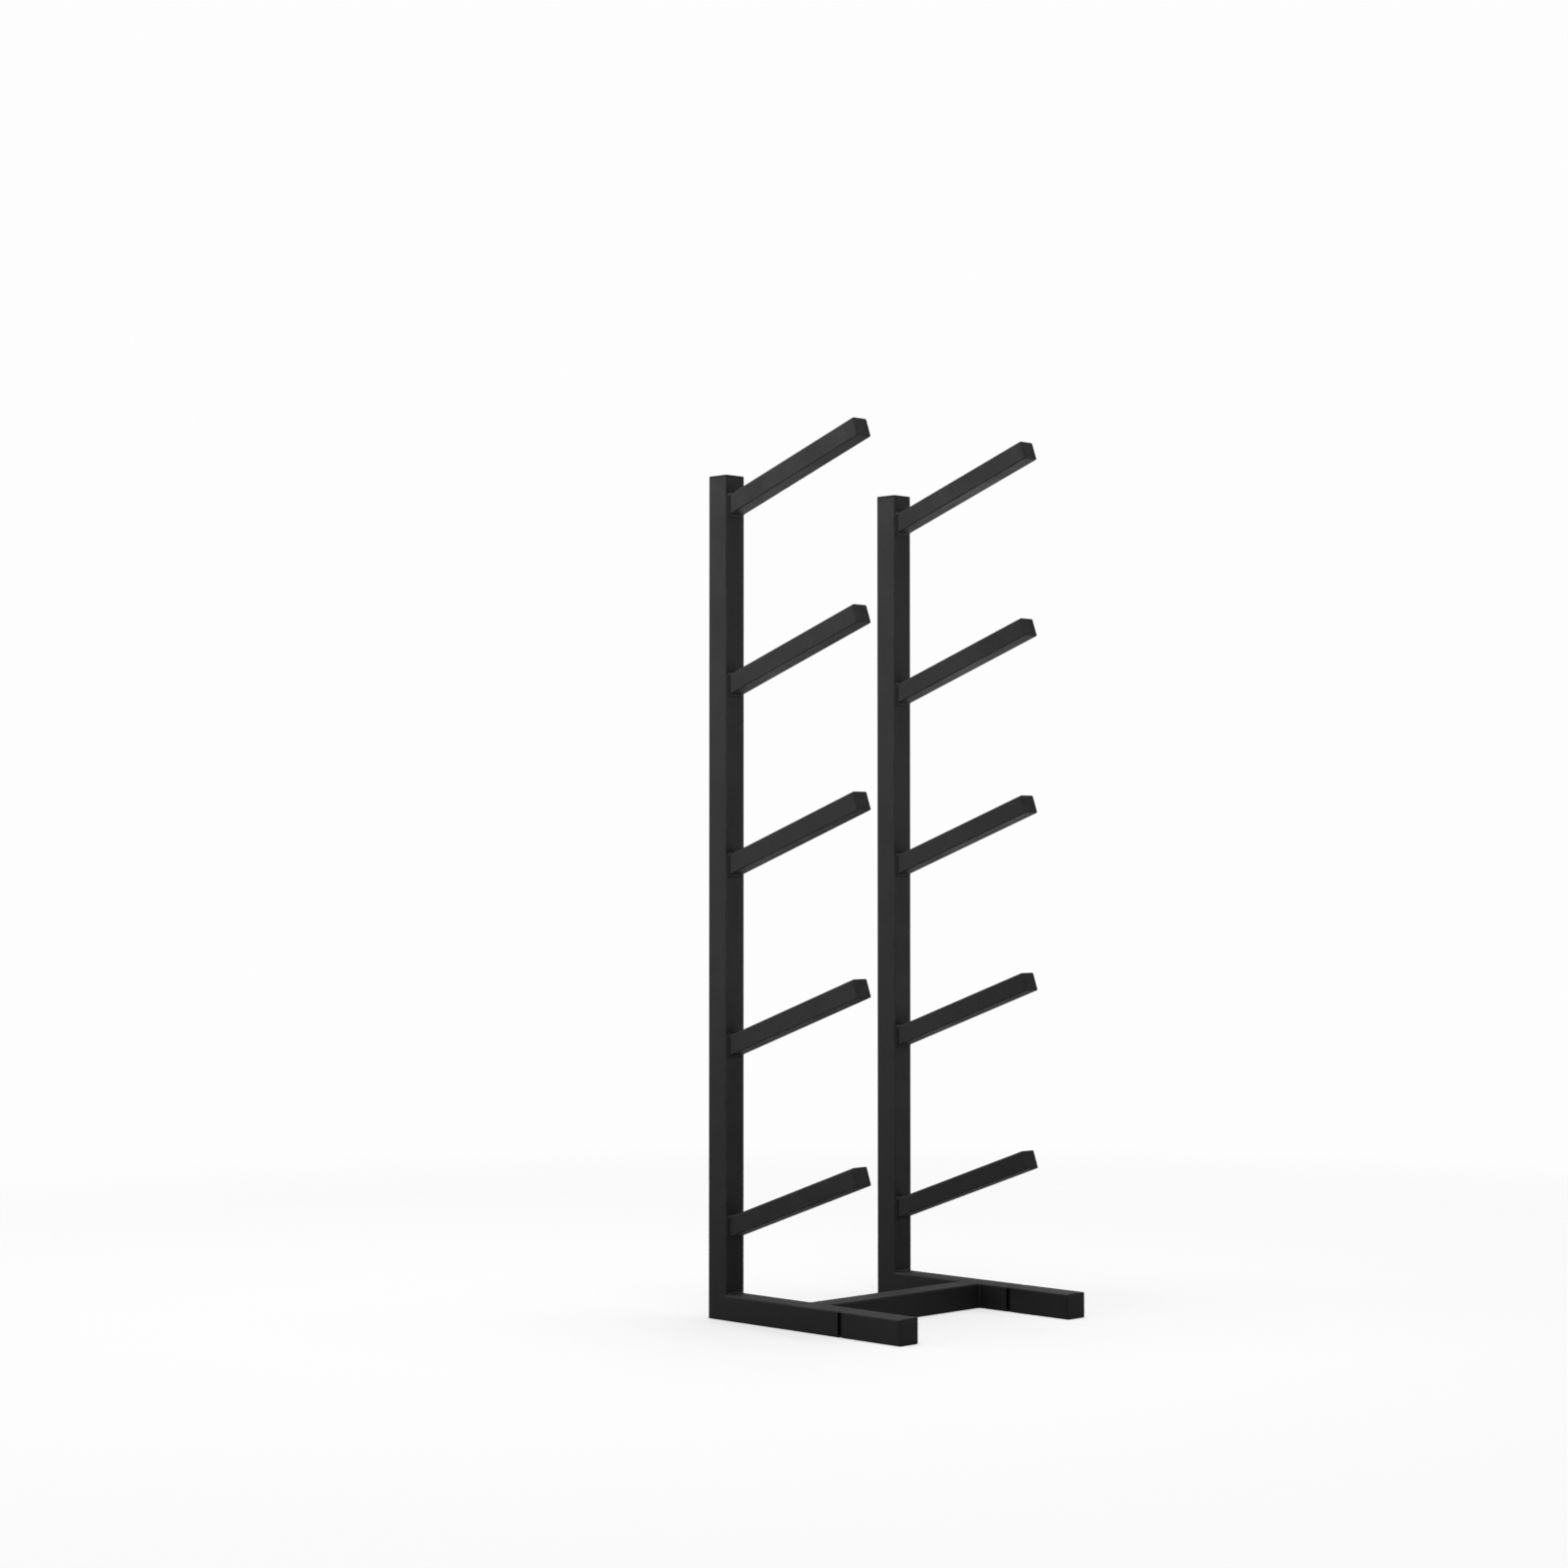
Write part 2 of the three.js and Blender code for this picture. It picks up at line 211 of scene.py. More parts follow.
# Floor and light
FLOOR_RADIUS = 3.0
FLOOR_FADE = 1.0             # distance at which the floor begins to fade into the backdrop
FLOOR_COLOUR = (0.90, 0.90, 0.90, 1)    # as the camera sees it
FLOOR_RETURN = (0.25, 0.25, 0.25, 1)    # as it lights the object from below
FLOOR_CLEAR = 0.5            # share of the backdrop's white in the floor, which thins its shadows
BACKDROP_COLOUR = (0.985, 0.985, 0.985, 1)
ROOM_LOW = (0.86, 0.86, 0.86, 1)        # glow from the horizon down
ROOM_HIGH = (0.22, 0.22, 0.22, 1)       # glow from above
ROOM_STRENGTH = 1.0
HORIZON = (-0.1, 0.1)        # height over which the one turns into the other
SOFTBOXES = {
    "rear_light": {"place": (-3.47, 2.91, 2.85), "size": 2.6, "power": 38},
    "top_light": {"place": (0.0, 0.0, 5.6), "size": 3.6, "power": 290},
}

# Camera, from the photograph's own lines
CAMERA_PLACE = (-3.60587, -3.36762, 0.71395)
CAMERA_HEADING = math.radians(44.902)   # from +Y towards +X
CAMERA_PITCH = math.radians(1.453)
CAMERA_LENS = 71.776
CAMERA_SENSOR = 36

# Places that follow from the frame
upright_low, upright_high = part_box("upright_left")
foot_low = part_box("foot_left")[0]
toe_low, toe_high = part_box("foot_extension_left")
joiner_low, joiner_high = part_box("foot_joiner_left")
crossbar_low, crossbar_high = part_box("crossbar")
lowest_arm_low, lowest_arm_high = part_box("arm_left_1")

frame_side = upright_high.x - upright_low.x
frame_half = frame_side / 2
arm_side = lowest_arm_high.x - lowest_arm_low.x
arm_half = arm_side / 2
joiner_side = joiner_high.x - joiner_low.x
side_x = (upright_low.x + upright_high.x) / 2
side_pitch = -2 * side_x
upright_y = (upright_low.y + upright_high.y) / 2
crossbar_y = (crossbar_low.y + crossbar_high.y) / 2
arm_axis_z = lowest_arm_low.z - SEAT_GAP * math.tan(TILT) + arm_half / math.cos(TILT)
arm_end = (lowest_arm_high.z - arm_axis_z - arm_half * math.cos(TILT)) / math.sin(TILT)

# Directions and turns from a piece's own axis, +Z, to the frame
ORIGIN = Vector((0, 0, 0))
UP = Vector((0, 0, 1))
FORWARD = Vector((0, -1, 0))
UPRIGHT = Matrix.Identity(4)
LAID_FORWARD = Matrix.Rotation(math.pi / 2, 4, "X")
ALONG_X = Matrix.Rotation(math.pi / 2, 4, "Y")
ALONG_ARM = Matrix.Rotation(math.pi / 2 - TILT, 4, "X")
INTO_THE_CORNER = Matrix.Rotation(math.pi / 2, 4, "X")
MITRE_NORMAL = Vector((0, 1, 1)).normalized()
FOOT_MITRE_NORMAL = Vector((0, -1, 1)).normalized()

# Starts of the left side's pieces
upright_foot = Vector((side_x, upright_y, 0))
foot_back = Vector((side_x, upright_high.y, frame_half))
mitre_point = UP * frame_half
arm_root = Vector((side_x, upright_low.y, arm_axis_z))


# Camera, floor and light


def camera():
    """The photograph's own viewpoint and lens."""
    turn = (math.pi / 2 + CAMERA_PITCH, 0, -CAMERA_HEADING)
    bpy.ops.object.camera_add(location=CAMERA_PLACE, rotation=turn)
    viewpoint = bpy.context.object
    viewpoint.name = "camera"
    viewpoint.data.sensor_width = CAMERA_SENSOR
    viewpoint.data.lens = CAMERA_LENS
    bpy.context.scene.camera = viewpoint
    bpy.context.scene.view_settings.view_transform = "Standard"


def floor():
    """A pale round floor under the object."""
    bpy.ops.object.select_all(action="DESELECT")
    bpy.ops.mesh.primitive_circle_add(vertices=FLOOR_FACETS, radius=FLOOR_RADIUS, fill_type="NGON")
    pale = bpy.context.object
    pale.name = "floor"
    pale.data.materials.append(floor_paint())


def floor_paint():
    """Pale floor that fades out into the backdrop away from the object."""
    finish, tree = empty_material("pale_floor")
    place = node(tree, "ShaderNodeTexCoord").outputs["Object"]
    away = node(tree, "ShaderNodeVectorMath", {0: place}, operation="LENGTH").outputs["Value"]
    fade = ranged(tree, away, (FLOOR_FADE, FLOOR_RADIUS), (0, 1))
    paint = node(tree, "ShaderNodeBsdfDiffuse", {"Color": FLOOR_COLOUR}).outputs[0]
    clear = node(tree, "ShaderNodeBsdfTransparent").outputs[0]
    thin = node(tree, "ShaderNodeMixShader", {0: FLOOR_CLEAR, 1: paint, 2: clear}).outputs[0]
    dim = node(tree, "ShaderNodeBsdfDiffuse", {"Color": FLOOR_RETURN}).outputs[0]
    seen = node(tree, "ShaderNodeLightPath").outputs["Is Camera Ray"]
    seen_paint = node(tree, "ShaderNodeMixShader", {0: seen, 1: dim, 2: thin}).outputs[0]
    below = node(tree, "ShaderNodeNewGeometry").outputs["Backfacing"]
    gone = math_node(tree, "MAXIMUM", fade, below)
    surface = node(tree, "ShaderNodeMixShader", {0: gone, 1: seen_paint, 2: clear}).outputs[0]
    node(tree, "ShaderNodeOutputMaterial", {"Surface": surface})
    return finish


def backdrop():
    """A plain white backdrop for the camera, and the soft light of the room for everything else."""
    world = bpy.data.worlds.new("studio")
    bpy.context.scene.world = world
    world.use_nodes = True
    tree = world.node_tree
    tree.nodes.clear()
    direction = node(tree, "ShaderNodeTexCoord").outputs["Generated"]
    height = node(tree, "ShaderNodeSeparateXYZ", {0: direction}).outputs["Z"]
    share = ranged(tree, height, HORIZON, (0, 1))
    glow = mixed_colour(tree, share, ROOM_LOW, ROOM_HIGH)
    room = node(tree, "ShaderNodeBackground", {"Color": glow, "Strength": ROOM_STRENGTH}).outputs[0]
    white = node(tree, "ShaderNodeBackground", {"Color": BACKDROP_COLOUR}).outputs[0]
    seen = node(tree, "ShaderNodeLightPath").outputs["Is Camera Ray"]
    both = node(tree, "ShaderNodeMixShader", {0: seen, 1: room, 2: white}).outputs[0]
    node(tree, "ShaderNodeOutputWorld", {"Surface": both})


def softbox(name, place, size, power):
    """A square soft light that faces the middle of the object."""
    aim = (cad_low + cad_high) / 2 - Vector(place)
    turn = aim.to_track_quat("-Z", "Y").to_euler()
    bpy.ops.object.light_add(type="AREA", location=place, rotation=turn)
    light = bpy.context.object
    light.name = name
    light.data.shape = "SQUARE"
    light.data.size = size
    light.data.energy = power
    light.visible_camera = False


# Materials


def node(tree, kind, inputs=None, **settings):
    """Adds a node, with values or links for its inputs, in a row beside the others."""
    added = tree.nodes.new(kind)
    added.location.x = NODE_SPACING * len(tree.nodes)
    for setting, value in settings.items():
        setattr(added, setting, value)
    for socket, value in (inputs or {}).items():
        if isinstance(value, bpy.types.NodeSocket):
            tree.links.new(value, added.inputs[socket])
        else:
            added.inputs[socket].default_value = value
    return added


def math_node(tree, operation, first, second=0.0):
    """The result of a sum, product or other operation."""
    return node(tree, "ShaderNodeMath", {0: first, 1: second}, operation=operation).outputs[0]


def ranged(tree, value, source, target):
    """A value mapped from one range to another and held inside it."""
    limits = {"Value": value, "From Min": source[0], "From Max": source[1]}
    limits.update({"To Min": target[0], "To Max": target[1]})
    return node(tree, "ShaderNodeMapRange", limits).outputs["Result"]


def between(tree, share, first, second):
    """A value between two others."""
    return node(tree, "ShaderNodeMix", {"Factor": share, "A": first, "B": second}).outputs["Result"]


def mixed_colour(tree, share, first, second):
    """A colour between two others."""
    mix = node(tree, "ShaderNodeMix", {"Factor": share}, data_type="RGBA")
    for socket, value in zip(MIX_COLOURS, (first, second)):
        if isinstance(value, bpy.types.NodeSocket):
            tree.links.new(value, mix.inputs[socket])
        else:
            mix.inputs[socket].default_value = value
    return mix.outputs[MIX_RESULT]


def empty_material(name):
    """A material with an empty node tree."""
    finish = bpy.data.materials.new(name)
    finish.use_nodes = True
    finish.node_tree.nodes.clear()
    return finish, finish.node_tree


def effect(name, inputs, outputs):
    """A shader node group with float inputs and outputs. Returns the group and its two ends."""
    group = bpy.data.node_groups.new(name, "ShaderNodeTree")
    for socket, value in inputs.items():
        made = group.interface.new_socket(socket, in_out="INPUT", socket_type="NodeSocketFloat")
        made.default_value = value
    for socket in outputs:
        group.interface.new_socket(socket, in_out="OUTPUT", socket_type="NodeSocketFloat")
    return group, node(group, "NodeGroupInput").outputs, node(group, "NodeGroupOutput").inputs


def use(tree, group, **inputs):
    """Places an effect in a material, with its own values."""
    values = {socket.replace("_", " "): value for socket, value in inputs.items()}
    added = node(tree, "ShaderNodeGroup", node_tree=group)
    for socket, value in values.items():
        added.inputs[socket].default_value = value
    return added.outputs


def noise(tree, size, detail=NOISE_DETAIL, roughness=NOISE_ROUGHNESS):
    """Noise whose features are about a size wide, on the object's own coordinates."""
    place = node(tree, "ShaderNodeTexCoord").outputs["Object"]
    scale = math_node(tree, "DIVIDE", 1.0, size)
    inputs = {"Vector": place, "Scale": scale, "Detail": detail, "Roughness": roughness}
    return node(tree, "ShaderNodeTexNoise", inputs).outputs["Fac"]


def drift_effect():
    """Slow, cloudy change from 0 to 1 over a surface."""
    group, given, result = effect("cloudy_drift", {"Size": COAT_CLOUD}, ["Drift"])
    cloud = noise(group, given["Size"], DRIFT_DETAIL)
    group.links.new(ranged(group, cloud, DRIFT_SPREAD, (0, 1)), result["Drift"])
    return group


def orange_peel_effect():
    """The fine waviness of baked powder: broad dimples with smaller ones on them."""
    inputs = {"Size": COAT_PEEL, "Fine Size": COAT_FINE_PEEL, "Fine Share": COAT_FINE_SHARE}
    group, given, result = effect("orange_peel", inputs, ["Height"])
    broad = noise(group, given["Size"])
    fine = math_node(group, "MULTIPLY", noise(group, given["Fine Size"]), given["Fine Share"])
    group.links.new(math_node(group, "ADD", broad, fine), result["Height"])
    return group


def thin_edge_effect():
    """Rounded edges, where the coat runs thin and hands rub, broken up along their length."""
    inputs = {"Stretch": EDGE_STRETCH, "Least": EDGE_LEAST}
    group, given, result = effect("thin_edges", inputs, ["Mask"])
    edge = node(group, "ShaderNodeAttribute", attribute_name=WORN_EDGE).outputs["Fac"]
    stretches = noise(group, given["Stretch"], EDGE_DETAIL)
    broken = ranged(group, stretches, EDGE_SPREAD, (given["Least"], 1))
    group.links.new(math_node(group, "MULTIPLY", edge, broken), result["Mask"])
    return group


def dust_effect():
    """Fine dust on what faces up."""
    inputs = {"Patch Size": DUST_PATCH, "Least": DUST_LEAST}
    group, given, result = effect("settled_dust", inputs, ["Mask"])
    normal = node(group, "ShaderNodeNewGeometry").outputs["Normal"]
    height = node(group, "ShaderNodeSeparateXYZ", {0: normal}).outputs["Z"]
    facing_up = ranged(group, height, FACING_UP, (0, 1))
    patches = noise(group, given["Patch Size"], DUST_DETAIL, DUST_ROUGHNESS)
    patches = ranged(group, patches, DUST_SPREAD, (given["Least"], 1))
    group.links.new(math_node(group, "MULTIPLY", facing_up, patches), result["Mask"])
    return group


def mould_grain_effect():
    """The fine even grain of a spark-eroded mould."""
    group, given, result = effect("mould_grain", {"Size": PLASTIC_GRAIN}, ["Height"])
    place = node(group, "ShaderNodeTexCoord").outputs["Object"]
    scale = math_node(group, "DIVIDE", 1.0, given["Size"])
    inputs = {"Vector": place, "Scale": scale}
    cells = node(group, "ShaderNodeTexVoronoi", inputs).outputs["Distance"]
    group.links.new(math_node(group, "ADD", cells, noise(group, given["Size"])), result["Height"])
    return group


def with_surface(tree, colour, roughness, height, relief, **fixed):
    """Closes a material: its shader, with a relief of the given depth in its surface."""
    bumps = {"Height": height, "Strength": 1.0, "Distance": relief}
    normal = node(tree, "ShaderNodeBump", bumps).outputs["Normal"]
    inputs = {"Base Color": colour, "Roughness": roughness, "Normal": normal}
    inputs.update({socket.replace("_", " "): value for socket, value in fixed.items()})
    shader = node(tree, "ShaderNodeBsdfPrincipled", inputs).outputs[0]
    node(tree, "ShaderNodeOutputMaterial", {"Surface": shader})


def powder_coat(effects):
    """Satin charcoal powder coat: cloudy tone, thin lighter edges, a little dust, orange peel."""
    finish, tree = empty_material("charcoal_powder_coat")
    cloud = use(tree, effects["drift"], Size=COAT_CLOUD)["Drift"]
    mottle = use(tree, effects["drift"], Size=COAT_MOTTLE)["Drift"]
    smear = use(tree, effects["drift"], Size=COAT_SMEAR)["Drift"]
    edge = use(tree, effects["edge"], Stretch=EDGE_STRETCH)["Mask"]
    dust = use(tree, effects["dust"], Patch_Size=DUST_PATCH)["Mask"]
    peel = use(tree, effects["peel"], Size=COAT_PEEL)["Height"]
    tone = between(tree, COAT_MOTTLE_SHARE, cloud, mottle)
    colour = mixed_colour(tree, tone, COAT_DARK, COAT_LIGHT)
    colour = mixed_colour(tree, math_node(tree, "MULTIPLY", edge, EDGE_THINNING), colour, COAT_THIN)
    colour = mixed_colour(tree, math_node(tree, "MULTIPLY", dust, DUST_COVER), colour, DUST)
    rough = ranged(tree, between(tree, COAT_MOTTLE_SHARE, smear, mottle), (0, 1), COAT_ROUGHNESS)
    rough = math_node(tree, "ADD", rough, math_node(tree, "MULTIPLY", dust, DUST_DULLING))
    rough = math_node(tree, "SUBTRACT", rough, math_node(tree, "MULTIPLY", edge, EDGE_SHEEN))
    with_surface(tree, colour, rough, peel, COAT_RELIEF, Specular_IOR_Level=COAT_SPECULAR)
    return finish


def cap_plastic(effects):
    """Black moulded plastic with a fine grain."""
    finish, tree = empty_material("black_moulded_plastic")
    tone = use(tree, effects["drift"], Size=PLASTIC_CLOUD)["Drift"]
    dust = use(tree, effects["dust"], Patch_Size=PLASTIC_CLOUD)["Mask"]
    grain = use(tree, effects["grain"], Size=PLASTIC_GRAIN)["Height"]
    colour = mixed_colour(tree, tone, PLASTIC_DARK, PLASTIC_LIGHT)
    colour = mixed_colour(tree, math_node(tree, "MULTIPLY", dust, PLASTIC_DUST), colour, DUST)
    rough = ranged(tree, tone, (0, 1), PLASTIC_ROUGHNESS)
    with_surface(tree, colour, rough, grain, PLASTIC_RELIEF, Specular_IOR_Level=PLASTIC_SPECULAR)
    return finish


def blackened_steel(effects):
    """Screw steel, blackened in a hot bath, slightly patchy."""
    finish, tree = empty_material("blackened_screw_steel")
    tone = use(tree, effects["drift"], Size=BLACKING_PATCH)["Drift"]
    grain = use(tree, effects["grain"], Size=BLACKING_GRAIN)["Height"]
    colour = mixed_colour(tree, tone, BLACKING_DARK, BLACKING_LIGHT)
    rough = ranged(tree, tone, (0, 1), BLACKING_ROUGHNESS)
    with_surface(tree, colour, rough, grain, BLACKING_RELIEF, Metallic=1.0)
    return finish


# Modelling by hand


def alone(piece):
    """Makes a piece the active one and the only one selected."""
    bpy.ops.object.select_all(action="DESELECT")
    piece.select_set(True)
    bpy.context.view_layer.objects.active = piece


@contextmanager
def editing(piece):
    """Opens a piece in edit mode for the lines inside."""
    alone(piece)
    bpy.ops.object.mode_set(mode="EDIT")
    yield
    bpy.ops.object.mode_set(mode="OBJECT")


def pick(kind, test):
    """Selects the faces or edges of the open piece that pass the test, and no others."""
    bpy.ops.mesh.select_mode(type=kind)
    bpy.ops.mesh.select_all(action="DESELECT")
    mesh = bpy.context.edit_object.data
    shape = bmesh.from_edit_mesh(mesh)
    items = {"VERT": shape.verts, "EDGE": shape.edges, "FACE": shape.faces}[kind]
    for item in items:
        if test(item):
            item.select_set(True)
    bmesh.update_edit_mesh(mesh)


def saw(point, outwards, fill=False):
    """Cuts all of the open piece along a plane and drops what lies outwards of it."""
    cut = {"plane_co": point, "plane_no": outwards, "clear_outer": True, "use_fill": fill}
    bpy.ops.mesh.select_all(action="SELECT")
    bpy.ops.mesh.bisect(**cut, threshold=SAW_THRESHOLD)


def faces_towards(direction):
    """A test for faces that look along a direction."""
    return lambda face: face.normal.dot(direction) > ALIGNED


def edges_along(direction):
    """A test for edges that run along a direction."""
    def test(edge):
        run = (edge.verts[1].co - edge.verts[0].co).normalized()
        return abs(run.dot(direction)) > ALIGNED
    return test


def edges_on(point, normal):
    """A test for the edges of an end face, where it turns into the outer faces."""
    def test(edge):
        level = all(abs((vert.co - point).dot(normal)) < ON_PLANE for vert in edge.verts)
        return level and len(edge.link_faces) == 2 and edge.calc_face_angle_signed() > SHARP
    return test


def block(name, low, high):
    """A cuboid between two corners, the start of a piece."""
    low, high = Vector(low), Vector(high)
    bpy.ops.object.select_all(action="DESELECT")
    bpy.ops.mesh.primitive_cube_add(size=1, location=(low + high) / 2, scale=high - low)
    bpy.ops.object.transform_apply(location=True, rotation=True, scale=True)
    made = bpy.context.object
    made.name = name
    made.data.name = name
    return made


def with_modifier(piece, kind, **settings):
    """Adds a modifier to a piece and applies it."""
    alone(piece)
    modifier = piece.modifiers.new(kind.lower(), kind)
    for setting, value in settings.items():
        setattr(modifier, setting, value)
    bpy.ops.object.modifier_apply(modifier=modifier.name)


def combined(piece, other, operation):
    """Combines a piece with another, which is used up."""
    with_modifier(piece, "BOOLEAN", operation=operation, object=other, solver="EXACT")
    bpy.data.objects.remove(other)


def cut_with(piece, cutter):
    """Takes the cutter's shape out of a piece."""
    combined(piece, cutter, "DIFFERENCE")


def fused_with(piece, other):
    """Adds another piece's shape to a piece."""
    combined(piece, other, "UNION")


def placed(piece, turn, place):
    """Turns a piece about the origin and moves it to its place, all in its mesh."""
    piece.data.transform(Matrix.Translation(place) @ turn)
    return piece


def joined(piece, *others):
    """Runs several pieces together into the first."""
    alone(piece)
    for other in others:
        other.select_set(True)
    bpy.ops.object.join()
    return piece


def copied(piece, name, shift):
    """A copy of a piece with a mesh of its own, shifted."""
    alone(piece)
    bpy.ops.object.duplicate(linked=False)
    twin = bpy.context.object
    twin.name = name
    twin.data.name = name
    return placed(twin, UPRIGHT, shift)


def break_edges(piece, width, angle):
    """Bevels all of a piece's edges that are sharper than an angle."""
    limits = {"limit_method": "ANGLE", "angle_limit": angle}
    with_modifier(piece, "BEVEL", width=width, segments=SMALL_SEGMENTS, **limits)


def smoothed(piece):
    """Smooth rounded edges beside faces that stay flat."""
    alone(piece)
    bpy.ops.object.shade_smooth_by_angle(angle=SHARP)
    with_modifier(piece, "WEIGHTED_NORMAL", mode="FACE_AREA", weight=FACE_WEIGHT, keep_sharp=True)
    return piece


# Square tube


def rounded_bar(name, side, corner, start, end):
    """Square bar along +Z with its long edges rounded."""
    half = side / 2
    bar = block(name, (-half, -half, start), (half, half, end))
    with editing(bar):
        pick("EDGE", edges_along(UP))
        bpy.ops.mesh.bevel(offset=corner, segments=EDGE_SEGMENTS, affect="EDGES")
    return bar


def tube_stock(name, side, wall, corner, length):
    """Square tube along +Z with some to spare at both ends: an open bar, its skin given a wall."""
    tube = rounded_bar(name, side, corner, -SPARE_LENGTH, length + SPARE_LENGTH)
    with editing(tube):
        pick("FACE", lambda face: max(abs(face.normal.x), abs(face.normal.y)) > ALIGNED)
        bpy.ops.mesh.inset(thickness=EDGE_BAND, use_individual=True)
        pick("FACE", lambda face: abs(face.normal.z) > ALIGNED)
        bpy.ops.mesh.delete(type="ONLY_FACE")
    mark_worn_edges(tube, side / 2 - corner - EDGE_BAND / 2)
    with_modifier(tube, "SOLIDIFY", thickness=wall, offset=-1, use_even_offset=True, use_rim=True)
    return tube


def frame_stock(name, length):
    """Tube stock of the size that the side frames and the crossbar are made of."""
    return tube_stock(name, frame_side, FRAME_WALL, FRAME_CORNER, length)


def mark_worn_edges(tube, reach):
    """Keeps with each point how far it is on a rounded long edge, for the wear in the finish."""
    worn = tube.data.attributes.new(WORN_EDGE, "FLOAT", "POINT")
    for point, value in zip(tube.data.vertices, worn.data):
        value.value = float(min(abs(point.co.x), abs(point.co.y)) > reach)


def sawn(tube, point, outwards, end_break=0.0, closed=True):
    """Saws off what lies outwards of a plane, and gives the tube's cut wall its end face."""
    with editing(tube):
        saw(point, outwards)
        if closed:
            bpy.ops.mesh.bridge_edge_loops()
        if end_break:
            pick("EDGE", edges_on(point, outwards))
            bpy.ops.mesh.bevel(offset=end_break, segments=BREAK_SEGMENTS, affect="EDGES")
    return tube


def upright_tube():
    """Upright on its mitred foot end, with a square top."""
    tube = frame_stock("left_upright", upright_high.z)
    sawn(tube, mitre_point + MITRE_NORMAL * (MITRE_WELD_WIDTH / 2), -MITRE_NORMAL)
    sawn(tube, UP * upright_high.z, UP, END_BREAK)
    return smoothed(placed(tube, UPRIGHT, upright_foot))


def foot_tube():
    """Foot from the mitre at the back to the joint, with the hole for the back screw."""
    length = foot_back.y - foot_low.y
    tube = frame_stock("left_foot", length)
    sawn(tube, mitre_point + FOOT_MITRE_NORMAL * (MITRE_WELD_WIDTH / 2), -FOOT_MITRE_NORMAL)
    sawn(tube, UP * length, UP, JOINT_BREAK)
    placed(tube, LAID_FORWARD, foot_back)
    drilled(tube, "back")
    return smoothed(tube)


def foot_front_tube():
    """Front length of the foot, square at both ends, with the hole for the front screw."""
    length = toe_high.y - toe_low.y
    tube = frame_stock("left_foot_front", length)
    sawn(tube, ORIGIN, -UP, JOINT_BREAK)
    sawn(tube, UP * length, UP, END_BREAK)
    placed(tube, LAID_FORWARD, (side_x, toe_high.y, frame_half))
    drilled(tube, "front")
    return smoothed(tube)


def foot_joiner():
    """Moulded joiner of the foot's lengths: a hollow bar with end blocks and a collar."""
    reach = (joiner_high.y - joiner_low.y) / 2
    near, far = JOINER_BLOCK
    end_block = JOINER_END_BLOCK + JOINER_SLOPE
    half = [(near, JOINER_CORE), (near + JOINER_SLOPE, joiner_side)]
    half += [(far - JOINER_SLOPE, joiner_side), (far, JOINER_CORE), (JOINER_END_BLOCK, JOINER_CORE)]
    rings = [(-at, width) for at, width in reversed(half)] + half
    rings += [(end_block, joiner_side), (reach, joiner_side)]
    bar = rounded_bar("left_foot_joiner", joiner_side, JOINER_CORNER, -reach, -end_block)
    with editing(bar):
        pick("FACE", faces_towards(UP))
        draw_out(rings, -end_block, joiner_side)
    break_edges(bar, JOINER_EDGE, SHARP)
    fused_with(bar, joiner_collar())
    cut_with(bar, rounded_bar("bore", JOINER_BORE, JOINER_CORNER, -2 * reach, 2 * reach))
    placed(bar, LAID_FORWARD, (side_x, (joiner_low.y + joiner_high.y) / 2, frame_half))
    drilled(bar, "back")
    drilled(bar, "front")
    return smoothed(bar)


def joiner_collar():
    """Stop between the foot's two lengths: closed above and below, with a pocket in each side."""
    reach = (foot_low.y - toe_high.y) / 2 - SEAT_GAP
    side = frame_side - 2 * COLLAR_SINK
    collar = rounded_bar("collar", side, FRAME_CORNER - COLLAR_SINK, -reach, reach)
    height = frame_half - COLLAR_SINK - COLLAR_FLANGE
    web = frame_half - COLLAR_POCKET
    for near, far in ((web, frame_side), (-frame_side, -web)):
        cut_with(collar, block("pocket", (near, -height, -2 * reach), (far, height, 2 * reach)))
    break_edges(collar, JOINER_EDGE, SHARP)
    return collar


def crossbar_tube():
    """Crossbar between the feet, square at both ends."""
    length = crossbar_high.x - crossbar_low.x
    tube = frame_stock("crossbar_tube", length)
    sawn(tube, ORIGIN, -UP)
    sawn(tube, UP * length, UP)
    return smoothed(placed(tube, ALONG_X, (crossbar_low.x, crossbar_y, frame_half)))


def arm_tube():
    """Arm, sawn at its root to the upright's face and square at its tip."""
    tube = tube_stock("left_arm_1", arm_side, ARM_WALL, ARM_CORNER, arm_end)
    off_the_face = ALONG_ARM.inverted() @ FORWARD
    sawn(tube, off_the_face * SEAT_GAP, -off_the_face)
    sawn(tube, UP * arm_end, UP, END_BREAK)
    return smoothed(placed(tube, ALONG_ARM, arm_root))


# Plug caps


def extrude_and_resize(shift, share):
    """Extrudes the open piece's picked end face along Z and resizes it about the axis."""
    bpy.ops.mesh.extrude_region_move(TRANSFORM_OT_translate={"value": (0, 0, shift)})
    bpy.ops.transform.resize(value=(share, share, 1), center_override=(0, 0, 0))


def draw_out(rings, height, width):
    """Extrudes the picked end face through rings of other heights and widths."""
    for next_height, next_width in rings:
        extrude_and_resize(next_height - height, next_width / width)
        height, width = next_height, next_width


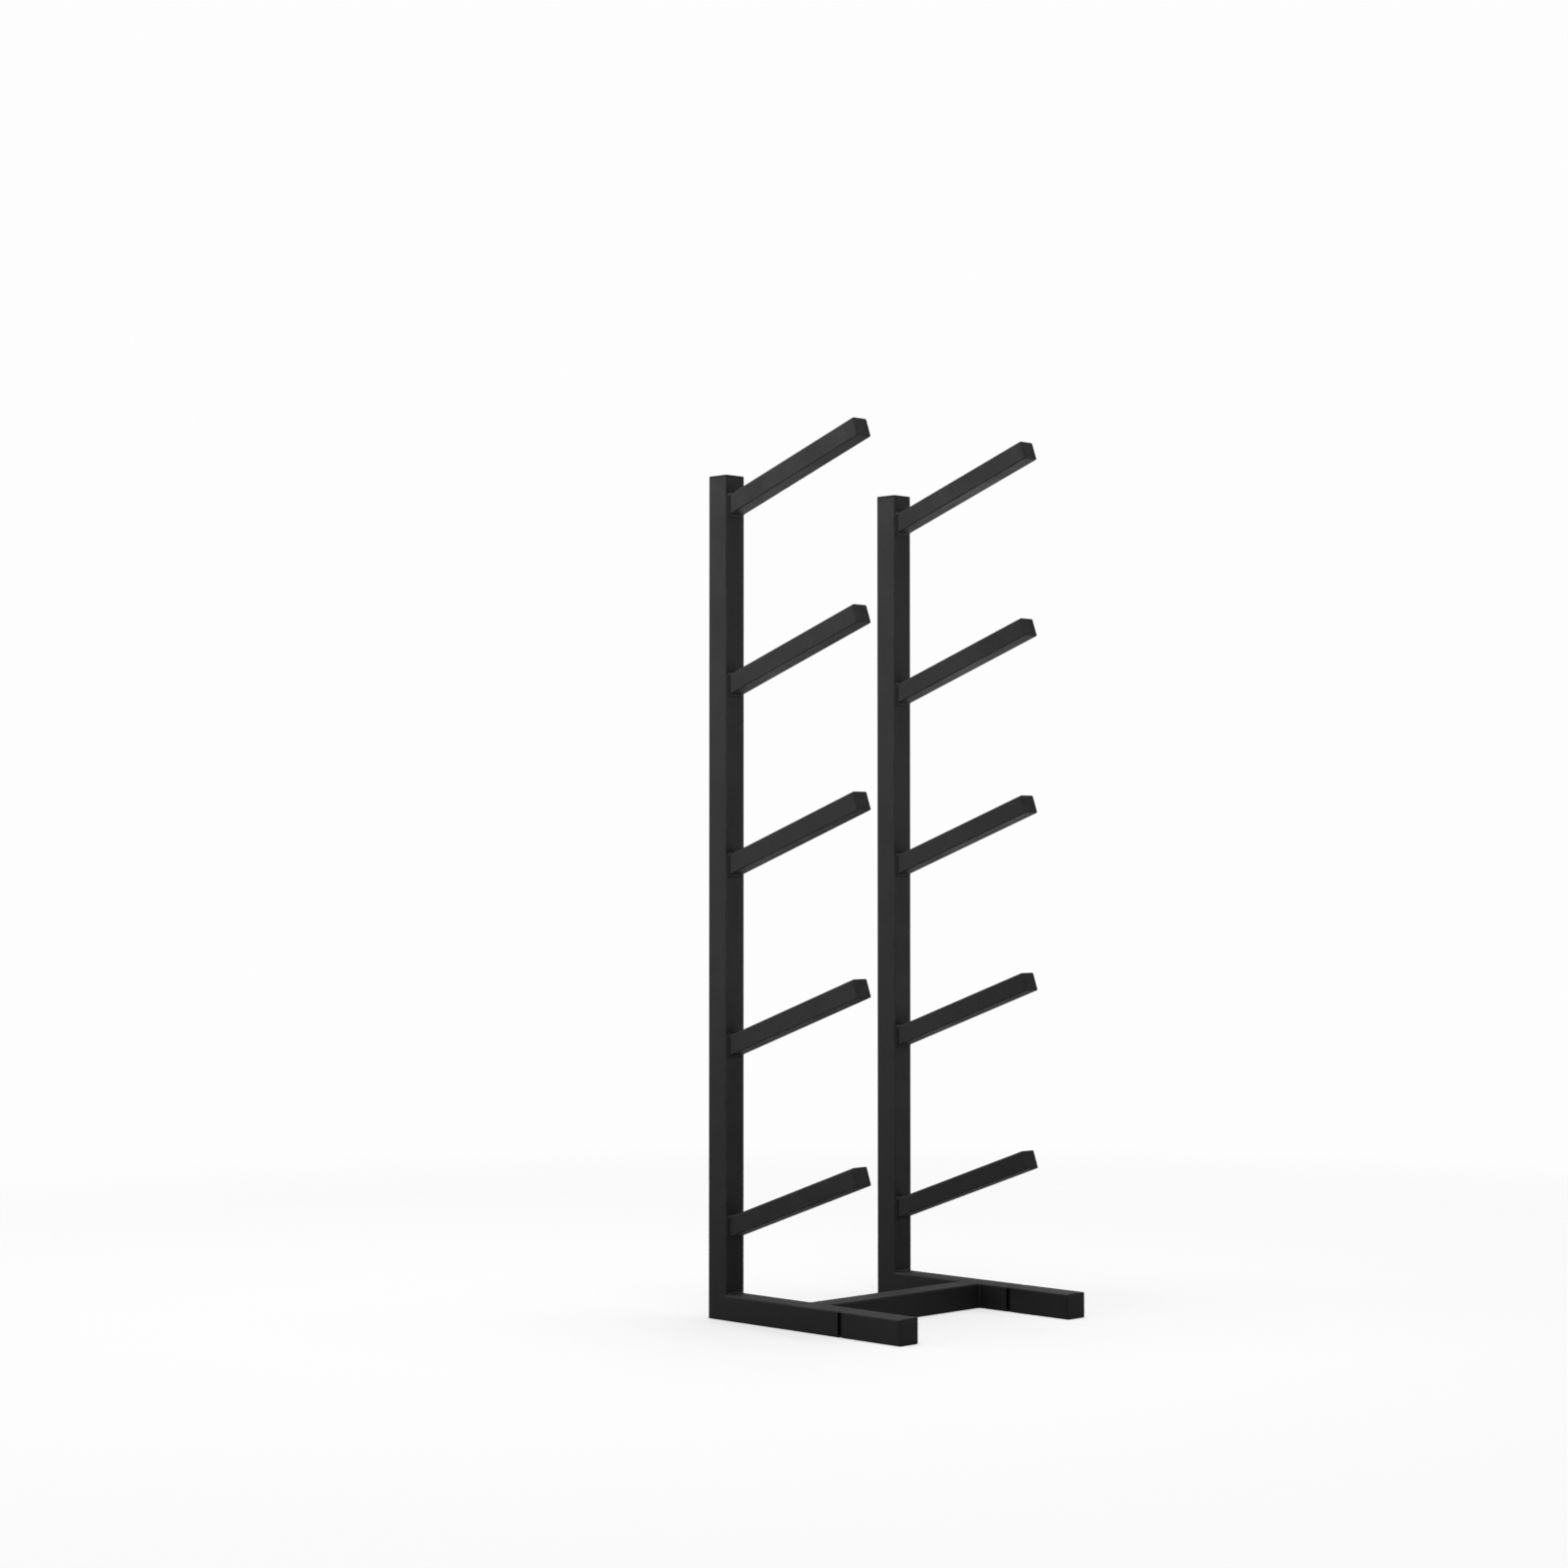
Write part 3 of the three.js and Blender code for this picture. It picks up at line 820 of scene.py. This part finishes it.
def plug_cap(name, side, wall, corner):
    """Cap along +Z from a tube's end: a crowned flange on a hollow plug with fins."""
    half = side / 2
    rim = FLANGE - FLANGE_CROWN
    cap = block(name, (-half, -half, SEAT_GAP), (half, half, rim))
    top = Vector((0, 0, rim))
    with editing(cap):
        pick("EDGE", edges_along(UP))
        bpy.ops.mesh.bevel(offset=corner, segments=EDGE_SEGMENTS, affect="EDGES")
        pick("EDGE", edges_on(top, UP))
        bpy.ops.mesh.bevel(offset=RIM_RADIUS, segments=RIM_SEGMENTS, affect="EDGES")
        pick("FACE", faces_towards(UP))
        crown_the_flange()
        pick("FACE", faces_towards(-UP))
        draw_out_the_plug(side, wall)
    cut_with(cap, gate_mark_cutter())
    return smoothed(cap)


def crown_the_flange():
    """Lifts the flange's face towards its middle, in rings that get flatter."""
    for rise in CROWN_RISES:
        extrude_and_resize(FLANGE_CROWN * rise, CROWN_RING)


def draw_out_the_plug(side, wall):
    """Extrudes the plug from the flange's underside, fin by fin, and hollows it."""
    fin = side - 2 * wall - 2 * SEAT_GAP
    core = fin - 2 * FIN_DEPTH
    fin_pitch = PLUG_REACH / (FIN_COUNT + 1)
    rings = [(SEAT_GAP, core)]
    for number in range(1, FIN_COUNT + 1):
        at = -number * fin_pitch
        rings += [(at, core), (at - FIN_TIP / 2, fin), (at - FIN_TIP, fin)]
        rings.append((at - FIN_TIP - FIN_SLOPE, core))
    rings.append((-PLUG_REACH, core - 2 * FIN_TIP))
    rings.append((-PLUG_REACH, core - 2 * PLUG_SHELL))
    rings.append((-PLUG_FLOOR, (core - 2 * PLUG_SHELL) * PLUG_DRAFT))
    draw_out(rings, SEAT_GAP, side)


def gate_mark_cutter():
    """A ball that leaves the shallow round mark of the moulding gate."""
    ball = (GATE_RADIUS ** 2 + GATE_DEPTH ** 2) / (2 * GATE_DEPTH)
    centre = (0, 0, FLANGE - GATE_DEPTH + ball)
    bpy.ops.object.select_all(action="DESELECT")
    facets = {"segments": GATE_FACETS, "ring_count": GATE_FACETS}
    bpy.ops.mesh.primitive_uv_sphere_add(**facets, radius=ball, location=centre)
    bpy.ops.object.transform_apply(location=True, rotation=True, scale=True)
    return bpy.context.object


# Screws


def screw_blank(name, grow, rim):
    """Countersunk blank along +Z from its head's face: a cone with its rim and shank drawn out."""
    cone = SCREW_HEAD_RADIUS - SCREW_THREAD_RADIUS
    middle = (0, 0, SCREW_RIM + cone / 2)
    bpy.ops.object.select_all(action="DESELECT")
    bpy.ops.mesh.primitive_cone_add(
        vertices=TURNED_FACETS,
        radius1=SCREW_HEAD_RADIUS + grow,
        radius2=SCREW_THREAD_RADIUS + grow,
        depth=cone,
        location=middle,
    )
    bpy.ops.object.transform_apply(location=True, rotation=True, scale=True)
    blank = bpy.context.object
    blank.name = name
    with editing(blank):
        pick("FACE", faces_towards(-UP))
        extrude_and_resize(-rim, 1)
        pick("FACE", faces_towards(UP))
        extrude_and_resize(SCREW_LENGTH + grow - SCREW_RIM - cone, 1)
    return blank


def screw_place(end):
    """Where a screw's head face is, on the left foot."""
    low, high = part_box(f"foot_screw_left_{end}")
    return Vector((side_x, (low.y + high.y) / 2, low.z))


def drilled(tube, end):
    """Drills and countersinks the hole for a screw."""
    drill = screw_blank("drill", SEAT_GAP, SCREW_LENGTH)
    cut_with(tube, placed(drill, UPRIGHT, screw_place(end)))


def foot_screw(end):
    """Countersunk screw with a hexagon socket."""
    screw = screw_blank(f"left_foot_screw_{end}", 0, SCREW_RIM)
    bpy.ops.object.select_all(action="DESELECT")
    bpy.ops.mesh.primitive_cylinder_add(
        vertices=SOCKET_SIDES,
        radius=SOCKET_RADIUS,
        depth=2 * SOCKET_DEPTH,
    )
    cut_with(screw, bpy.context.object)
    break_edges(screw, SCREW_EDGE, SCREW_EDGE_ANGLE)
    return smoothed(placed(screw, UPRIGHT, screw_place(end)))


# Welds


def bead_section():
    """Closed section of a bead that fills a corner, from a disc cut down to a quarter."""
    bpy.ops.object.select_all(action="DESELECT")
    bpy.ops.mesh.primitive_circle_add(vertices=BEAD_FACETS, radius=WELD_LEG, fill_type="NGON")
    section = bpy.context.object
    with editing(section):
        for outwards in (Vector((1, 0, 0)), Vector((0, -1, 0))):
            saw(outwards * FUSED, outwards, fill=True)
        bpy.ops.mesh.select_all(action="SELECT")
        bpy.ops.mesh.delete(type="ONLY_FACE")
    alone(section)
    bpy.ops.object.convert(target="CURVE")
    section.data.dimensions = "2D"
    return section


def rippled_bead(path, share=lambda place: 1):
    """Draws the bead's section along a path, swelling with each ripple, times the share there."""
    section = bead_section()
    curve = path.data
    curve.dimensions = "2D"
    curve.fill_mode = "NONE"
    curve.bevel_mode = "OBJECT"
    curve.bevel_object = section
    points = curve.splines[0].points
    curve.use_fill_caps = not curve.splines[0].use_cyclic_u
    run = 0.0
    for here, before in zip(points, [points[0], *points]):
        run += (here.co - before.co).length
        phase = (run / WELD_RIPPLE) % 1
        swell = 1 - WELD_RIPPLE_SHARE * (1 - math.sqrt(math.sin(math.pi * phase)))
        here.radius = swell * max(share(here.co), WELD_TIP)
    alone(path)
    bpy.ops.object.convert(target="MESH")
    bpy.data.objects.remove(section)
    with editing(path):
        bpy.ops.mesh.select_all(action="SELECT")
        bpy.ops.mesh.remove_doubles(threshold=SAME_POINT)
        bpy.ops.mesh.normals_make_consistent(inside=False)
    return path


def square_path(name, side, corner):
    """Closed path round a square with rounded corners, in the XY plane."""
    bpy.ops.object.select_all(action="DESELECT")
    bpy.ops.mesh.primitive_plane_add(size=side)
    path = bpy.context.object
    path.name = name
    with editing(path):
        bpy.ops.mesh.select_all(action="SELECT")
        bpy.ops.mesh.bevel(offset=corner, segments=PATH_SEGMENTS, affect="VERTICES")
        bpy.ops.mesh.select_all(action="SELECT")
        bpy.ops.mesh.delete(type="ONLY_FACE")
        pick("EDGE", lambda edge: edge.calc_length() > side / 2)
        bpy.ops.mesh.subdivide(number_cuts=round((side - 2 * corner) / WELD_STEP) - 1)
    alone(path)
    bpy.ops.object.convert(target="CURVE")
    return path


def straight_path(name, length):
    """Path along the X axis, centred on the origin, from one edge of a plane."""
    bpy.ops.object.select_all(action="DESELECT")
    bpy.ops.mesh.primitive_plane_add(size=length)
    path = bpy.context.object
    path.name = name
    with editing(path):
        pick("VERT", lambda vert: vert.co.y > 0)
        bpy.ops.mesh.delete(type="VERT")
        bpy.ops.mesh.select_all(action="SELECT")
        bpy.ops.mesh.subdivide(number_cuts=round(length / WELD_STEP) - 1)
        bpy.ops.transform.translate(value=(0, length / 2, 0))
    alone(path)
    bpy.ops.object.convert(target="CURVE")
    return path


def arm_weld():
    """Bead all round the arm's root, leaning with the arm."""
    bead = rippled_bead(square_path("left_arm_weld_1", arm_side, ARM_CORNER))
    lean = Matrix.Identity(4)
    lean[1][1] = 1 / math.cos(TILT)
    lean[1][2] = math.tan(TILT)
    return smoothed(placed(bead, LAID_FORWARD @ lean, arm_root))


def corner_weld():
    """Bead across the inner corner of the upright and the foot, rounded at its ends."""
    length = frame_side - 2 * FRAME_CORNER

    def rounded_end(place):
        left = min((length / 2 - abs(place.x)) / WELD_LEG, 1)
        return math.sqrt(max(1 - (1 - left) ** 2, 0))

    bead = rippled_bead(straight_path("left_corner_weld", length), rounded_end)
    return smoothed(placed(bead, INTO_THE_CORNER, (side_x, upright_low.y, frame_side)))


def crossbar_weld():
    """Beads up the front and back of the crossbar's end, and flush fills above and below."""
    def run_out(place):
        return min((frame_half - abs(place.x)) / FRAME_CORNER, 1)

    bead = rippled_bead(square_path("left_crossbar_weld", frame_side, FRAME_CORNER), run_out)
    placed(bead, ALONG_X, (upright_high.x, crossbar_y, frame_half))
    with editing(bead):
        for point, outwards in ((ORIGIN, -UP), (UP * frame_side, UP)):
            saw(point - outwards * BEAD_SINK, outwards, fill=True)
    lower = groove_fill("lower_fill", UP * FRAME_CORNER, UP)
    upper = groove_fill("upper_fill", UP * (frame_side - FRAME_CORNER), -UP)
    return smoothed(joined(bead, lower, upper))


def groove_fill(name, level, inwards):
    """Dressed weld metal in the groove between foot and crossbar, in the crossbar's outline."""
    start = upright_high.x - FRAME_CORNER - RUN_IN
    end = crossbar_low.x + RUN_IN
    fill = rounded_bar(name, frame_side - 2 * FLUSH, FRAME_CORNER - FLUSH, start, end)
    placed(fill, ALONG_X, (0, crossbar_y, frame_half))
    with editing(fill):
        saw(level, inwards, fill=True)
    return fill


def mitre_weld():
    """Dressed weld between the upright and its foot: a thin ring, half of it on each tube."""
    upright_half = mitre_half("left_mitre_weld", MITRE_NORMAL)
    foot_half = mitre_half("foot_half", FOOT_MITRE_NORMAL)
    placed(upright_half, UPRIGHT, upright_foot)
    placed(foot_half, LAID_FORWARD, foot_back)
    ring = joined(upright_half, foot_half)
    with editing(ring):
        bpy.ops.mesh.select_all(action="SELECT")
        bpy.ops.mesh.remove_doubles(threshold=SAME_POINT)
        for outwards in (MITRE_NORMAL, -MITRE_NORMAL):
            edge = upright_foot + mitre_point + outwards * (MITRE_WELD_WIDTH / 2)
            pick("EDGE", edges_on(edge, outwards))
            bpy.ops.mesh.bevel(offset=MITRE_WELD_EDGE, segments=SMALL_SEGMENTS, affect="EDGES")
    return smoothed(ring)


def mitre_half(name, outwards):
    """Half of the mitre's ring on one tube, open where the other half follows."""
    tube = frame_stock(name, frame_side)
    sawn(tube, mitre_point, -outwards, closed=False)
    return sawn(tube, mitre_point + outwards * (MITRE_WELD_WIDTH / 2), outwards)


# The whole object


def finished(piece, finish, node_name=None):
    """Gives a piece its finish and has it ride on the frame, in the place of its CAD node."""
    piece.data.materials.clear()
    piece.data.materials.append(finish)
    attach(piece, BODY)
    if node_name:
        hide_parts(node_name)


def level_rise(level):
    """How far an arm is above the lowest one."""
    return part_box(f"arm_left_{level}")[0].z - lowest_arm_low.z


def frame_pieces():
    """The left side frame's pieces, each with its slot and the node it stands for."""
    upright_plug = plug_cap("left_upright_plug", frame_side, FRAME_WALL, FRAME_CORNER)
    foot_plug = copied(upright_plug, "left_foot_plug", (0, 0, 0))
    placed(upright_plug, UPRIGHT, (side_x, upright_y, upright_high.z))
    placed(foot_plug, LAID_FORWARD, (side_x, toe_low.y, frame_half))
    return [
        (upright_tube(), "powder_coat", "upright_left"),
        (upright_plug, "cap_plastic", "upright_cap_left"),
        (mitre_weld(), "powder_coat", None),
        (corner_weld(), "powder_coat", "corner_weld_left"),
        (foot_tube(), "powder_coat", "foot_left"),
        (foot_joiner(), "cap_plastic", "foot_joiner_left"),
        (foot_front_tube(), "powder_coat", "foot_extension_left"),
        (foot_plug, "cap_plastic", "foot_cap_left"),
        (foot_screw("back"), "blackened_steel", "foot_screw_left_back"),
        (foot_screw("front"), "blackened_steel", "foot_screw_left_front"),
    ]


def arm_pieces():
    """The left side's arms, plugs and beads: the lowest, and its copies above."""
    plug = plug_cap("left_arm_plug_1", arm_side, ARM_WALL, ARM_CORNER)
    placed(plug, ALONG_ARM @ Matrix.Translation(UP * arm_end), arm_root)
    lowest = [
        (arm_tube(), "powder_coat", "arm_left_1"),
        (plug, "cap_plastic", "arm_cap_left_1"),
        (arm_weld(), "powder_coat", "arm_weld_left_1"),
    ]
    pieces = list(lowest)
    for level in LEVELS[1:]:
        for piece, slot, node_name in lowest:
            twin = copied(piece, piece.name.replace("_1", f"_{level}"), UP * level_rise(level))
            pieces.append((twin, slot, node_name.replace("_1", f"_{level}")))
    return pieces


def right_of(piece, slot, node_name):
    """The right side's copy of a left piece."""
    twin = copied(piece, piece.name.replace("left", "right"), (side_pitch, 0, 0))
    return twin, slot, node_name and node_name.replace("left", "right")


def crossbar_pieces():
    """Crossbar and the welds at its two ends."""
    left_weld = crossbar_weld()
    right_weld = copied(left_weld, "right_crossbar_weld", (0, 0, 0))
    placed(right_weld, Matrix.Rotation(math.pi, 4, "Z"), (0, 2 * crossbar_y, 0))
    return [
        (crossbar_tube(), "powder_coat", "crossbar"),
        (left_weld, "powder_coat", "crossbar_weld_left"),
        (right_weld, "powder_coat", "crossbar_weld_right"),
    ]


def finishes():
    """Every finish, by its slot."""
    effects = {
        "drift": drift_effect(),
        "peel": orange_peel_effect(),
        "edge": thin_edge_effect(),
        "dust": dust_effect(),
        "grain": mould_grain_effect(),
    }
    return {
        "powder_coat": powder_coat(effects),
        "cap_plastic": cap_plastic(effects),
        "blackened_steel": blackened_steel(effects),
    }


camera()
floor()
backdrop()
for light_name, light in SOFTBOXES.items():
    softbox(light_name, **light)

left_pieces = frame_pieces() + arm_pieces()
right_pieces = [right_of(*piece) for piece in left_pieces]
by_slot = finishes()
for piece, slot, node_name in left_pieces + right_pieces + crossbar_pieces():
    finished(piece, by_slot[slot], node_name)
